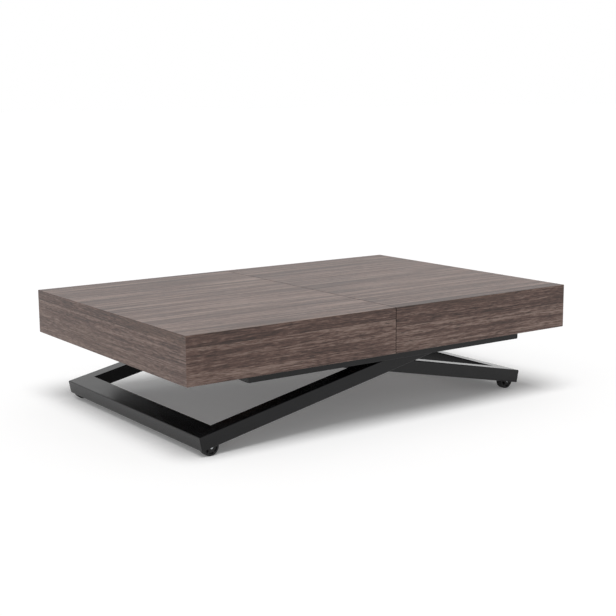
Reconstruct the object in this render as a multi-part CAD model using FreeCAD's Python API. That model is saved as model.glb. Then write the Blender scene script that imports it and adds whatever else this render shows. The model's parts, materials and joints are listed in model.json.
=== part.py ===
import FreeCAD, Part
import math
import os

from FreeCAD import Vector

# Convertible coffee and dining table, drawn lowered and closed. Lengths in millimetres, angles in degrees.
# X runs along the table, Y across it and Z up from the floor, with the origin under the table's centre.

# Two U-shaped leg frames of rectangular tube cross like scissors, the inner one inside the outer one.
LEG_ANGLE = 11.63
LIFT_ANGLE = 32.5
LEG_LOWER_REACH = 551.0
LEG_UPPER_REACH = 408.4
LEG_TIP = 20.0
LEG_WIDTH = 46.0
LEG_DEPTH = 36.0
LEG_GAP = 15.0
CROSS_TUBE_WIDTH = 60.0
OUTER_FRAME_WIDTH = 716.0
TUBE_WALL = 2.0
TUBE_CORNER = 3.0
CAP_THICKNESS = 3.0
CAP_PLUG = 10.0
CAP_BUSH_GAP = 0.5

# Wheels in forks inside the lower corners of the frames.
WHEEL_DIAMETER = 44.0
WHEEL_WIDTH = 20.0
WHEEL_TREAD_ROUND = 3.0
WHEEL_HUB_DIAMETER = 18.0
WHEEL_RIM = 5.0
WHEEL_RECESS = 4.0
WHEEL_SIDE_GAP = 0.5
WHEEL_NOTCH_GAP = 2.0
AXLE_DIAMETER = 8.0
AXLE_INSET = 28.0
AXLE_DROP = 16.9
AXLE_HEAD_DIAMETER = 13.0
AXLE_HEAD = 3.0
AXLE_END_GAP = 0.3
FORK_THICKNESS = 2.5
FORK_DIAMETER = 22.0

# Pivots of the legs.
RUNNING_FIT = 0.05
CENTRE_BOLT_DIAMETER = 12.0
CENTRE_BOLT_HEAD_DIAMETER = 20.0
CENTRE_BOLT_HEAD = 6.0
SLEEVE_DIAMETER = 20.0
SLEEVE_GAP = 0.4
UPPER_SHAFT_DIAMETER = 16.0
BUSH_DIAMETER = 22.0
BUSH_LAND = 1.5

# Sub-frame under the top.
LEG_CLEARANCE = 5.9
RAIL_WIDTH = 36.0
RAIL_HEIGHT = 15.0
RAIL_WALL = 2.0
RAIL_CORNER = 1.0
SIDE_RAIL_GAP = 5.5
SIDE_RAIL_SETBACK = 8.0
SIDE_PLATE_GAP = 8.0
SIDE_PLATE_THICKNESS = 3.0
LEDGE_WIDTH = 29.0
LEDGE_THICKNESS = 3.0
LEDGE_CLEARANCE = 0.5
PIVOT_TO_END = 31.0
PIVOT_BRACKET_GAP = 2.0
PIVOT_BRACKET_THICKNESS = 4.0
PIVOT_BRACKET_DIAMETER = 32.0

# Guides, rollers and sliding carriage of the inner frame's upper ends.
GUIDE_GAP = 23.0
GUIDE_THICKNESS = 6.0
GUIDE_EDGE = 8.0
GUIDE_LOW_HEIGHT = 30.0
ROLLER_DIAMETER = 21.4
ROLLER_WIDTH = 10.0
ROLLER_PLAY = 0.3
PUSH_BAR_GAP = 44.0
PUSH_BAR_THICKNESS = 8.0
PUSH_BAR_HEIGHT = 20.0
PUSH_BAR_BOSS_DIAMETER = 24.0
CARRIAGE_SHAFT_END = 3.0
CROSSBAR_WIDTH = 20.0

# Two lockable gas springs along X.
GAS_PLACE_SHARE = 0.6
GAS_CYLINDER_DIAMETER = 22.0
GAS_CYLINDER_WALL = 2.0
GAS_CYLINDER_END = 4.0
GAS_GLAND = 8.0
GAS_ROD_DIAMETER = 10.0
GAS_PISTON_LENGTH = 10.0
GAS_PISTON_PLAY = 0.3
GAS_PISTON_MARGIN = 6.0
GAS_RESERVE = 61.0
GAS_STUD_DIAMETER = 8.0
GAS_STUD_LENGTH = 15.0
GAS_END_GAP = 8.0
ROD_BRACKET_LENGTH = 30.0
ROD_BRACKET_EDGE = 7.0

# Release bar with fingers and paddle, and the pins it pushes.
RELEASE_BAR_DIAMETER = 10.0
RELEASE_BAR_SETOUT = 16.0
RELEASE_BAR_OVERHANG = 10.0
RELEASE_ARM = 21.3
RELEASE_BEARING_PLACE_SHARE = 0.65
RELEASE_BEARING_WIDTH = 14.0
RELEASE_BEARING_EDGE = 5.0
RELEASE_BEARING_FOOT = 2.0
FINGER_WIDTH = 6.0
PADDLE_LENGTH = 108.0
PADDLE_SIDE_GAP = 9.0
PADDLE_THICKNESS = 4.0
PADDLE_HUB_DIAMETER = 18.0
PADDLE_CORNER = 12.0
RELEASE_PIN_DIAMETER = 6.0
RELEASE_PIN_LENGTH = 36.0
RELEASE_PIN_GAP = 0.3
RELEASE_PIN_ROOM = 6.0

# Telescopic slides between side plates and aprons.
SLIDE_DEPTH = 18.5
SLIDE_HEIGHT = 44.0
SLIDE_WALL = 2.0
SLIDE_PLAY = 0.5
SLIDE_OUTER_FLANGE = 9.0
SLIDE_MIDDLE_FLANGE = 11.5
SLIDE_RISE = 7.0
SLIDE_SEAM_SETBACK = 25.0
SLIDE_END_SETBACK = 6.0

# Top halves of mitred boards, and the leaves stored in them.
BOARD_THICKNESS = 20.0
BOARD_EDGE_ROUND = 1.0
SEAM_GAP = 2.0
END_OVERHANG = 169.0
APRON_CLEARANCE = 1.0
BLOCK_SIZE = 35.0
BLOCK_SETBACK = 10.0
DOWEL_DIAMETER = 8.0
DOWEL_DEPTH = 20.0
DOWEL_SPACING = 300.0
DOWEL_PLAY = 0.3
LEAF_JOINT_GAP = 1.0
LEAF_CLEARANCE = 1.0
LEAF_STOP_GAP = 0.5
LEAF_STOP_HEIGHT = 18.0
LEAF_STOP_THICKNESS = 3.0
BEARER_WIDTH = 40.0
BEARER_THICKNESS = 4.0
BEARER_CLEARANCE = 1.7
BEARER_SPACING = 180.0
BEARER_OFFSET = 70.0

# How far a cutting tool runs past the face it cuts, and how far a mitre plane runs past its corner.
OVERRUN = 1.0
MITRE_OVERRUN_SHARE = 0.1
HALF_TURN = 180.0
ANGLE_TOLERANCE = 1e-6
SHAPE_TOLERANCE = 1e-6

ORIGIN = Vector(0, 0, 0)
X_AXIS = Vector(1, 0, 0)
Y_AXIS = Vector(0, 1, 0)
Z_AXIS = Vector(0, 0, 1)

# Leg stations along the leg and across it, from the crossing, and their places in the table.
SIN = math.sin(math.radians(LEG_ANGLE))
COS = math.cos(math.radians(LEG_ANGLE))
LIFTED_COS = math.cos(math.radians(LEG_ANGLE + LIFT_ANGLE))
LOWER_END = -LEG_LOWER_REACH
CROSS_TUBE_INNER = LOWER_END + CROSS_TUBE_WIDTH
UPPER_END = LEG_UPPER_REACH + LEG_TIP
AXLE_STATION = LOWER_END + AXLE_INSET
WHEEL_RADIUS = WHEEL_DIAMETER / 2
AXLE_X = -AXLE_STATION * COS - AXLE_DROP * SIN
CROSS_HEIGHT = WHEEL_RADIUS - AXLE_STATION * SIN + AXLE_DROP * COS
PIVOT_X = LEG_UPPER_REACH * COS
PIVOT_Z = CROSS_HEIGHT + LEG_UPPER_REACH * SIN
CARRIAGE_TRAVEL = 2 * LEG_UPPER_REACH * (COS - LIFTED_COS)

# Widths from the middle outward.
OUTER_FACE = OUTER_FRAME_WIDTH / 2
INNER_FACE = OUTER_FACE - LEG_WIDTH - LEG_GAP
FORK_HALF_WIDTH = WHEEL_WIDTH / 2 + WHEEL_SIDE_GAP + FORK_THICKNESS
LEFT_WHEEL_Y = OUTER_FACE - TUBE_WALL - FORK_HALF_WIDTH
RIGHT_WHEEL_Y = INNER_FACE - LEG_WIDTH / 2
GUIDE_OUTER = INNER_FACE - LEG_WIDTH - GUIDE_GAP
GUIDE_INNER = GUIDE_OUTER - GUIDE_THICKNESS
PUSH_BAR_OUTER = GUIDE_INNER - PUSH_BAR_GAP
PUSH_BAR_INNER = PUSH_BAR_OUTER - PUSH_BAR_THICKNESS
GAS_Y = GAS_PLACE_SHARE * PUSH_BAR_INNER
RELEASE_BEARING_Y = RELEASE_BEARING_PLACE_SHARE * GAS_Y
SIDE_RAIL_INNER = OUTER_FACE + SIDE_RAIL_GAP
SIDE_PLATE_INNER = OUTER_FACE + SIDE_PLATE_GAP
SIDE_PLATE_OUTER = SIDE_PLATE_INNER + SIDE_PLATE_THICKNESS
APRON_INNER = SIDE_PLATE_OUTER + SLIDE_DEPTH
HALF_WIDTH = APRON_INNER + BOARD_THICKNESS
SIDE_RAIL_OUTER = HALF_WIDTH - SIDE_RAIL_SETBACK

# Heights from the floor up.
RAIL_BOTTOM = CROSS_HEIGHT + LEG_DEPTH / 2 / COS + RAIL_WIDTH / 2 * SIN / COS + LEG_CLEARANCE
RAIL_TOP = RAIL_BOTTOM + RAIL_HEIGHT
APRON_BOTTOM = RAIL_TOP + APRON_CLEARANCE
CARRIAGE_TOP = PIVOT_Z + max(GAS_CYLINDER_DIAMETER, PUSH_BAR_BOSS_DIAMETER, ROLLER_DIAMETER) / 2
BEARER_BOTTOM = CARRIAGE_TOP + BEARER_CLEARANCE
BEARER_TOP = BEARER_BOTTOM + BEARER_THICKNESS
CEILING = BEARER_TOP + 2 * BOARD_THICKNESS + LEAF_CLEARANCE
TABLE_HEIGHT = CEILING + BOARD_THICKNESS

# Lengths from the middle outward.
FRAME_END = PIVOT_X + PIVOT_TO_END
HALF_LENGTH = FRAME_END + END_OVERHANG
SLIDE_START = SLIDE_SEAM_SETBACK
SLIDE_END = FRAME_END - SLIDE_END_SETBACK
SLIDE_TRAVEL = SLIDE_END - SLIDE_START
GAS_LEFT = -FRAME_END + ROD_BRACKET_LENGTH + GAS_END_GAP
GAS_RIGHT = GAS_LEFT + CARRIAGE_TRAVEL + GAS_RESERVE
GAS_ROD_END = GAS_LEFT + CARRIAGE_TRAVEL + GAS_GLAND + GAS_PISTON_MARGIN + GAS_PISTON_LENGTH
CROSSBAR_LEFT = GAS_RIGHT + GAS_STUD_LENGTH
RELEASE_X = -FRAME_END - RELEASE_BAR_SETOUT
RELEASE_Z = PIVOT_Z - RELEASE_ARM
RELEASE_PIN_LEFT = RELEASE_X + RELEASE_BAR_DIAMETER / 2 + RELEASE_PIN_GAP


def box(x0, x1, y0, y1, z0, z1):
    """Block between two opposite corners."""
    return Part.makeBox(x1 - x0, y1 - y0, z1 - z0, Vector(x0, y0, z0))


def round_x(y, z, diameter, x0, x1):
    """Round bar along X."""
    return Part.makeCylinder(diameter / 2, x1 - x0, Vector(x0, y, z), X_AXIS)


def round_y(x, z, diameter, y0, y1):
    """Round bar along Y."""
    return Part.makeCylinder(diameter / 2, y1 - y0, Vector(x, y0, z), Y_AXIS)


def prism_z(points, z0, z1):
    """Polygon of XY points, drawn out along Z."""
    corners = [Vector(x, y, z0) for x, y in points]
    face = Part.Face(Part.makePolygon(corners + corners[:1]))
    return face.extrude(Vector(0, 0, z1 - z0))


def prism_y(points, y0, y1):
    """Polygon of XZ points, drawn out along Y."""
    corners = [Vector(x, y0, z) for x, z in points]
    face = Part.Face(Part.makePolygon(corners + corners[:1]))
    return face.extrude(Vector(0, y1 - y0, 0))


def mirror_y(shape):
    """The same piece on the table's other long side."""
    return shape.mirror(ORIGIN, Y_AXIS)


def mirror_x(shape):
    """The same piece at the table's other end."""
    return shape.mirror(ORIGIN, X_AXIS)


def edges_along(shape, axis):
    """Straight edges that run along an axis."""
    chosen = []
    for edge in shape.Edges:
        direction = edge.tangentAt(edge.FirstParameter)
        if abs(direction.cross(axis).Length) < ANGLE_TOLERANCE:
            chosen.append(edge)
    return chosen


def tube(corners, axis, wall, corner):
    """Rectangular tube along an axis, open at both ends, with rounded outer edges."""
    x0, x1, y0, y1, z0, z1 = corners
    outside = box(x0, x1, y0, y1, z0, z1)
    outside = outside.makeFillet(corner, edges_along(outside, axis))
    step_x = wall - (wall + OVERRUN) * axis.x
    step_y = wall - (wall + OVERRUN) * axis.y
    inside = box(x0 + step_x, x1 - step_x, y0 + step_y, y1 - step_y, z0 + wall, z1 - wall)
    return outside.cut(inside)


def place_outer(shape):
    """Turn a piece drawn along its leg into the outer frame's place."""
    placed = shape.copy()
    placed.rotate(ORIGIN, Y_AXIS, -LEG_ANGLE)
    placed.translate(Vector(0, 0, CROSS_HEIGHT))
    return placed


def place_inner(shape):
    """Turn a piece drawn along its leg into the inner frame's place."""
    placed = shape.copy()
    placed.rotate(ORIGIN, Z_AXIS, HALF_TURN)
    placed.rotate(ORIGIN, Y_AXIS, LEG_ANGLE)
    placed.translate(Vector(0, 0, CROSS_HEIGHT))
    return placed


def mitre_line(face):
    """Both ends of the mitre at a frame's lower corner, run past the corner, on the negative Y side."""
    extra_x = MITRE_OVERRUN_SHARE * CROSS_TUBE_WIDTH
    extra_y = MITRE_OVERRUN_SHARE * LEG_WIDTH
    outside = (LOWER_END - extra_x, -face - extra_y)
    inside = (CROSS_TUBE_INNER + extra_x, -face + LEG_WIDTH + extra_y)
    return outside, inside


def wheel_notch(wheel_y):
    """Cut in the tubes' lower wall around a wheel, its fork and the head of its axle pin."""
    reach = WHEEL_RADIUS + WHEEL_NOTCH_GAP
    inner_side = wheel_y - FORK_HALF_WIDTH - AXLE_HEAD - WHEEL_SIDE_GAP
    outer_side = wheel_y + FORK_HALF_WIDTH
    floor = -LEG_DEPTH / 2 - OVERRUN
    ceiling = -LEG_DEPTH / 2 + TUBE_WALL + OVERRUN
    return box(AXLE_STATION - reach, AXLE_STATION + reach, -outer_side, -inner_side, floor, ceiling)


def leg(face, wheel_y, sleeve_start):
    """Front leg of a frame, mitred at its lower end, with its pivot holes."""
    inner_side = -face + LEG_WIDTH
    corners = (LOWER_END, UPPER_END, -face, inner_side, -LEG_DEPTH / 2, LEG_DEPTH / 2)
    raw = tube(corners, X_AXIS, TUBE_WALL, TUBE_CORNER)
    outside, inside = mitre_line(face)
    top_inside = (UPPER_END + OVERRUN, inside[1])
    top_outside = (UPPER_END + OVERRUN, outside[1])
    keep = prism_z([outside, top_outside, top_inside, inside], -LEG_DEPTH, LEG_DEPTH)
    centre_hole = round_y(0, 0, SLEEVE_DIAMETER, sleeve_start, inner_side + OVERRUN)
    upper_hole = round_y(LEG_UPPER_REACH, 0, BUSH_DIAMETER, -face - OVERRUN, inner_side + OVERRUN)
    return raw.common(keep).cut([centre_hole, upper_hole, wheel_notch(wheel_y)])


def cross_tube(face, wheel_y):
    """Lower cross tube of a frame, mitred at both ends."""
    corners = (LOWER_END, CROSS_TUBE_INNER, -face, face, -LEG_DEPTH / 2, LEG_DEPTH / 2)
    raw = tube(corners, Y_AXIS, TUBE_WALL, TUBE_CORNER)
    outside, inside = mitre_line(face)
    points = [outside, inside, (inside[0], -inside[1]), (outside[0], -outside[1])]
    notch = wheel_notch(wheel_y)
    return raw.common(prism_z(points, -LEG_DEPTH, LEG_DEPTH)).cut([notch, mirror_y(notch)])


def leg_cap(face):
    """Plug in the front leg's upper end."""
    half = LEG_DEPTH / 2
    plate = box(UPPER_END, UPPER_END + CAP_THICKNESS, -face, -face + LEG_WIDTH, -half, half)
    plate = plate.makeFillet(TUBE_CORNER, edges_along(plate, X_AXIS))
    inner_half = half - TUBE_WALL
    start = UPPER_END - CAP_PLUG
    bush = round_y(LEG_UPPER_REACH, 0, BUSH_DIAMETER + 2 * CAP_BUSH_GAP, -face, -face + LEG_WIDTH)
    plug = box(start, UPPER_END, -face + TUBE_WALL, -face + LEG_WIDTH - TUBE_WALL, -inner_half, inner_half)
    return plate.fuse(plug.cut(bush)).removeSplitter()


def wheel_fork(wheel_y):
    """Bent bracket with two round-ended cheeks that holds a front wheel under the tube's upper wall."""
    roof = LEG_DEPTH / 2 - TUBE_WALL
    half = FORK_DIAMETER / 2
    outer_side = -wheel_y - FORK_HALF_WIDTH
    inner_side = -wheel_y + FORK_HALF_WIDTH
    body = box(AXLE_STATION - half, AXLE_STATION + half, outer_side, inner_side, -AXLE_DROP, roof)
    lobe = round_y(AXLE_STATION, -AXLE_DROP, FORK_DIAMETER, outer_side, inner_side)
    body = body.fuse(lobe).removeSplitter()
    room = box(
        AXLE_STATION - FORK_DIAMETER,
        AXLE_STATION + FORK_DIAMETER,
        outer_side + FORK_THICKNESS,
        inner_side - FORK_THICKNESS,
        -AXLE_DROP - FORK_DIAMETER,
        roof - FORK_THICKNESS,
    )
    diameter = AXLE_DIAMETER + 2 * RUNNING_FIT
    bore = round_y(AXLE_STATION, -AXLE_DROP, diameter, outer_side - OVERRUN, inner_side + OVERRUN)
    return body.cut([room, bore])


def axle_pin(x, wheel_y):
    """Headed pin of a front wheel, put in from the frame's inside."""
    inner_side = -wheel_y + FORK_HALF_WIDTH
    shank = round_y(x, WHEEL_RADIUS, AXLE_DIAMETER, -wheel_y - FORK_HALF_WIDTH + AXLE_END_GAP, inner_side)
    head = round_y(x, WHEEL_RADIUS, AXLE_HEAD_DIAMETER, inner_side, inner_side + AXLE_HEAD)
    return shank.fuse(head).removeSplitter()


def wheel(x, wheel_y):
    """Front wheel with rounded tread and dished sides."""
    left = -wheel_y - WHEEL_WIDTH / 2
    right = -wheel_y + WHEEL_WIDTH / 2
    body = round_y(x, WHEEL_RADIUS, WHEEL_DIAMETER, left, right)
    rims = [edge for edge in body.Edges if edge.Closed]
    body = body.makeFillet(WHEEL_TREAD_ROUND, rims)
    dish_diameter = WHEEL_DIAMETER - 2 * WHEEL_RIM
    for start, end in ((left - OVERRUN, left + WHEEL_RECESS), (right - WHEEL_RECESS, right + OVERRUN)):
        dish = round_y(x, WHEEL_RADIUS, dish_diameter, start, end)
        hub = round_y(x, WHEEL_RADIUS, WHEEL_HUB_DIAMETER, start, end)
        body = body.cut(dish.cut(hub))
    bore = AXLE_DIAMETER + 2 * RUNNING_FIT
    return body.cut(round_y(x, WHEEL_RADIUS, bore, left - OVERRUN, right + OVERRUN))


def ring_y(x, z, outside, inside, y0, y1):
    """Round sleeve along Y."""
    return round_y(x, z, outside, y0, y1).cut(round_y(x, z, inside, y0 - OVERRUN, y1 + OVERRUN))


def leg_sleeve(start, end, bore):
    """Sleeve of the centre pivot in a front leg."""
    return ring_y(0, 0, SLEEVE_DIAMETER, bore, start, end)


def leg_bush(face):
    """Bush of the upper pivot in a front leg."""
    bore = UPPER_SHAFT_DIAMETER + 2 * RUNNING_FIT
    return ring_y(LEG_UPPER_REACH, 0, BUSH_DIAMETER, bore, -face - BUSH_LAND, -face + LEG_WIDTH + BUSH_LAND)


def centre_bolt(start, end):
    """Headed bolt through the crossing of the front legs, with its head on the inside."""
    shank = round_y(0, 0, CENTRE_BOLT_DIAMETER, start, end)
    head = round_y(0, 0, CENTRE_BOLT_HEAD_DIAMETER, end, end + CENTRE_BOLT_HEAD)
    return shank.fuse(head).removeSplitter()


def leg_frames():
    """Both leg frames with their wheels and pivots."""
    sleeve_reach = (LEG_GAP - SLEEVE_GAP) / 2
    outer_start = -OUTER_FACE + TUBE_WALL
    outer_inside = -OUTER_FACE + LEG_WIDTH
    inner_inside = -INNER_FACE + LEG_WIDTH
    outer_leg = leg(OUTER_FACE, LEFT_WHEEL_Y, outer_start)
    inner_leg = leg(INNER_FACE, RIGHT_WHEEL_Y, -INNER_FACE - OVERRUN)
    outer_sleeve = leg_sleeve(outer_start, outer_inside + sleeve_reach, CENTRE_BOLT_DIAMETER)
    inner_bore = CENTRE_BOLT_DIAMETER + 2 * RUNNING_FIT
    inner_sleeve = leg_sleeve(-INNER_FACE - sleeve_reach, inner_inside, inner_bore)
    bolt = centre_bolt(outer_start, inner_inside + SLEEVE_GAP)

    export("outer_leg_front", place_outer(outer_leg))
    export("outer_leg_back", place_outer(mirror_y(outer_leg)))
    export("outer_cross_tube", place_outer(cross_tube(OUTER_FACE, LEFT_WHEEL_Y)))
    export_pair("outer_leg_caps", place_outer(leg_cap(OUTER_FACE)))
    export_pair("outer_wheel_forks", place_outer(wheel_fork(LEFT_WHEEL_Y)))
    export_pair("outer_pivot_sleeves", place_outer(outer_sleeve))
    export_pair("outer_upper_bushes", place_outer(leg_bush(OUTER_FACE)))
    export_pair("centre_pivot_bolts", place_outer(bolt))
    export_pair("left_axle_pins", axle_pin(-AXLE_X, LEFT_WHEEL_Y))
    export("left_wheel_front", wheel(-AXLE_X, LEFT_WHEEL_Y))
    export("left_wheel_back", mirror_y(wheel(-AXLE_X, LEFT_WHEEL_Y)))

    export("inner_leg_front", place_inner(mirror_y(inner_leg)))
    export("inner_leg_back", place_inner(inner_leg))
    export("inner_cross_tube", place_inner(cross_tube(INNER_FACE, RIGHT_WHEEL_Y)))
    export_pair("inner_leg_caps", place_inner(leg_cap(INNER_FACE)))
    export_pair("inner_wheel_forks", place_inner(wheel_fork(RIGHT_WHEEL_Y)))
    export_pair("inner_pivot_sleeves", place_inner(inner_sleeve))
    export_pair("inner_upper_bushes", place_inner(leg_bush(INNER_FACE)))
    export_pair("right_axle_pins", axle_pin(AXLE_X, RIGHT_WHEEL_Y))
    export("right_wheel_front", wheel(AXLE_X, RIGHT_WHEEL_Y))
    export("right_wheel_back", mirror_y(wheel(AXLE_X, RIGHT_WHEEL_Y)))


def side_rail():
    """Front tube of the sub-frame, under the apron."""
    corners = (-FRAME_END, FRAME_END, -SIDE_RAIL_OUTER, -SIDE_RAIL_INNER, RAIL_BOTTOM, RAIL_TOP)
    return tube(corners, X_AXIS, RAIL_WALL, RAIL_CORNER)


def cross_rail(x0):
    """Tube of the sub-frame from one side rail to the other."""
    corners = (x0, x0 + RAIL_WIDTH, -SIDE_RAIL_INNER, SIDE_RAIL_INNER, RAIL_BOTTOM, RAIL_TOP)
    return tube(corners, Y_AXIS, RAIL_WALL, RAIL_CORNER)


def side_plate():
    """Front plate that stands on the side rail, with a ledge on which a leaf lies level with the top."""
    top = CEILING - LEDGE_CLEARANCE
    web = box(-FRAME_END, FRAME_END, -SIDE_PLATE_OUTER, -SIDE_PLATE_INNER, RAIL_TOP, top)
    ledge_inner = -SIDE_PLATE_OUTER + LEDGE_WIDTH
    ledge = box(-FRAME_END, FRAME_END, -SIDE_PLATE_OUTER, ledge_inner, top - LEDGE_THICKNESS, top)
    return web.fuse(ledge).removeSplitter()


def pivot_bracket(y0):
    """Upright plate on the right end rail that holds the upper pivot shaft beside a leg."""
    half = PIVOT_BRACKET_DIAMETER / 2
    y1 = y0 + PIVOT_BRACKET_THICKNESS
    body = box(PIVOT_X - half, PIVOT_X + half, y0, y1, RAIL_TOP, PIVOT_Z)
    body = body.fuse(round_y(PIVOT_X, PIVOT_Z, PIVOT_BRACKET_DIAMETER, y0, y1)).removeSplitter()
    return body.cut(round_y(PIVOT_X, PIVOT_Z, UPPER_SHAFT_DIAMETER, y0 - OVERRUN, y1 + OVERRUN))


def guide_plate():
    """Front upright plate with the slot in which a guide roller runs."""
    slot_half = ROLLER_DIAMETER / 2 + ROLLER_PLAY
    slot_end = -PIVOT_X + CARRIAGE_TRAVEL + slot_half
    top = PIVOT_Z + slot_half + GUIDE_EDGE
    low = RAIL_TOP + GUIDE_LOW_HEIGHT
    inner_end = RAIL_WIDTH / 2
    points = [
        (-FRAME_END, RAIL_TOP),
        (inner_end, RAIL_TOP),
        (inner_end, low),
        (slot_end + GUIDE_EDGE, low),
        (slot_end + GUIDE_EDGE, top),
        (-FRAME_END, top),
    ]
    plate = prism_y(points, -GUIDE_OUTER, -GUIDE_INNER)
    cut_start = -GUIDE_OUTER - OVERRUN
    cut_end = -GUIDE_INNER + OVERRUN
    slot = box(-PIVOT_X, slot_end - slot_half, cut_start, cut_end, PIVOT_Z - slot_half, PIVOT_Z + slot_half)
    left_end = round_y(-PIVOT_X, PIVOT_Z, 2 * slot_half, cut_start, cut_end)
    right_end = round_y(slot_end - slot_half, PIVOT_Z, 2 * slot_half, cut_start, cut_end)
    return plate.cut(slot.fuse([left_end, right_end]))


def rod_bracket():
    """Front block on the left end rail that clamps a gas spring's rod."""
    half = GAS_ROD_DIAMETER / 2 + ROD_BRACKET_EDGE
    end = -FRAME_END + ROD_BRACKET_LENGTH
    y = -GAS_Y
    block = box(-FRAME_END, end, y - half, y + half, RAIL_TOP, PIVOT_Z + half)
    return block.cut(round_x(y, PIVOT_Z, GAS_ROD_DIAMETER, -FRAME_END - OVERRUN, end + OVERRUN))


def gas_rod():
    """Front gas spring's rod and piston, bored for the release pin."""
    y = -GAS_Y
    rod = round_x(y, PIVOT_Z, GAS_ROD_DIAMETER, -FRAME_END, GAS_ROD_END)
    piston_diameter = GAS_CYLINDER_DIAMETER - 2 * GAS_CYLINDER_WALL - 2 * GAS_PISTON_PLAY
    piston = round_x(y, PIVOT_Z, piston_diameter, GAS_ROD_END - GAS_PISTON_LENGTH, GAS_ROD_END)
    bore_diameter = RELEASE_PIN_DIAMETER + 2 * RUNNING_FIT
    bore_end = RELEASE_PIN_LEFT + RELEASE_PIN_LENGTH + RELEASE_PIN_ROOM
    bore = round_x(y, PIVOT_Z, bore_diameter, -FRAME_END - OVERRUN, bore_end)
    return rod.fuse(piston).removeSplitter().cut(bore)


def gas_cylinder():
    """Front gas spring's cylinder with its gland and the stud that joins it to the crossbar."""
    y = -GAS_Y
    body = round_x(y, PIVOT_Z, GAS_CYLINDER_DIAMETER, GAS_LEFT, GAS_RIGHT)
    stud = round_x(y, PIVOT_Z, GAS_STUD_DIAMETER, GAS_RIGHT, CROSSBAR_LEFT)
    room_diameter = GAS_CYLINDER_DIAMETER - 2 * GAS_CYLINDER_WALL
    room = round_x(y, PIVOT_Z, room_diameter, GAS_LEFT + GAS_GLAND, GAS_RIGHT - GAS_CYLINDER_END)
    gland_diameter = GAS_ROD_DIAMETER + 2 * RUNNING_FIT
    gland = round_x(y, PIVOT_Z, gland_diameter, GAS_LEFT - OVERRUN, GAS_LEFT + GAS_GLAND + OVERRUN)
    return body.fuse(stud).removeSplitter().cut(room.fuse(gland))


def leaf_bearer(x):
    """Strip between the side plates that carries the stored leaves, with an upright stop at each side."""
    half = BEARER_WIDTH / 2
    strip = box(x - half, x + half, -SIDE_PLATE_INNER, SIDE_PLATE_INNER, BEARER_BOTTOM, BEARER_TOP)
    stop_start = (SLIDE_TRAVEL - LEAF_JOINT_GAP) / 2 + LEAF_STOP_GAP
    stop_top = BEARER_TOP + LEAF_STOP_HEIGHT
    stop = box(x - half, x + half, stop_start, stop_start + LEAF_STOP_THICKNESS, BEARER_TOP, stop_top)
    return strip.fuse([stop, mirror_y(stop)]).removeSplitter()


def leaf(z):
    """Extension leaf, stored turned across so that its width lies along the table."""
    half_depth = (SLIDE_TRAVEL - LEAF_JOINT_GAP) / 2
    board = box(-HALF_WIDTH, HALF_WIDTH, -half_depth, half_depth, z, z + BOARD_THICKNESS)
    return board.makeFillet(BOARD_EDGE_ROUND, board.Edges)


def release_bearing(y):
    """Block on the left end rail's outer side in which the release bar turns."""
    half = RELEASE_BEARING_WIDTH / 2
    reach = RELEASE_BAR_DIAMETER / 2 + RELEASE_BEARING_EDGE
    foot = RAIL_BOTTOM + RELEASE_BEARING_FOOT
    block = box(RELEASE_X - reach, -FRAME_END, y - half, y + half, foot, RELEASE_Z + reach)
    bore = RELEASE_BAR_DIAMETER + 2 * RUNNING_FIT
    return block.cut(round_y(RELEASE_X, RELEASE_Z, bore, y - half - OVERRUN, y + half + OVERRUN))


def sub_frame():
    """Sub-frame and everything fixed to it."""
    bracket_starts = (
        -OUTER_FACE - PIVOT_BRACKET_GAP - PIVOT_BRACKET_THICKNESS,
        -OUTER_FACE + LEG_WIDTH + PIVOT_BRACKET_GAP,
    )
    brackets = [pivot_bracket(y0) for y0 in bracket_starts]
    shaft_reach = OUTER_FACE + PIVOT_BRACKET_GAP + PIVOT_BRACKET_THICKNESS
    bearer_stations = [BEARER_OFFSET + step * BEARER_SPACING for step in (-1, 0, 1)]

    export_pair("side_rails", side_rail())
    export("end_rails", cross_rail(-FRAME_END), cross_rail(FRAME_END - RAIL_WIDTH))
    export("centre_rail", cross_rail(-RAIL_WIDTH / 2))
    export_pair("side_plates", side_plate())
    export_pair("pivot_brackets", *brackets)
    export("upper_pivot_shaft", round_y(PIVOT_X, PIVOT_Z, UPPER_SHAFT_DIAMETER, -shaft_reach, shaft_reach))
    export_pair("guide_plates", guide_plate())
    export_pair("rod_brackets", rod_bracket())
    export_pair("gas_rods", gas_rod())
    export("release_bearings", release_bearing(-RELEASE_BEARING_Y), release_bearing(RELEASE_BEARING_Y))
    export("leaf_bearers", *[leaf_bearer(x) for x in bearer_stations])
    export("lower_leaf", leaf(BEARER_TOP))
    export("upper_leaf", leaf(BEARER_TOP + BOARD_THICKNESS))


def push_bar():
    """Front bar from the carriage shaft to the crossbar."""
    half = PUSH_BAR_HEIGHT / 2
    bar = box(-PIVOT_X, CROSSBAR_LEFT, -PUSH_BAR_OUTER, -PUSH_BAR_INNER, PIVOT_Z - half, PIVOT_Z + half)
    boss = round_y(-PIVOT_X, PIVOT_Z, PUSH_BAR_BOSS_DIAMETER, -PUSH_BAR_OUTER, -PUSH_BAR_INNER)
    bore_start = -PUSH_BAR_OUTER - OVERRUN
    bore = round_y(-PIVOT_X, PIVOT_Z, UPPER_SHAFT_DIAMETER, bore_start, -PUSH_BAR_INNER + OVERRUN)
    return bar.fuse(boss).removeSplitter().cut(bore)


def guide_roller():
    """Front roller on the carriage shaft."""
    middle = -(GUIDE_OUTER + GUIDE_INNER) / 2
    bore = UPPER_SHAFT_DIAMETER + 2 * RUNNING_FIT
    half = ROLLER_WIDTH / 2
    return ring_y(-PIVOT_X, PIVOT_Z, ROLLER_DIAMETER, bore, middle - half, middle + half)


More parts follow.
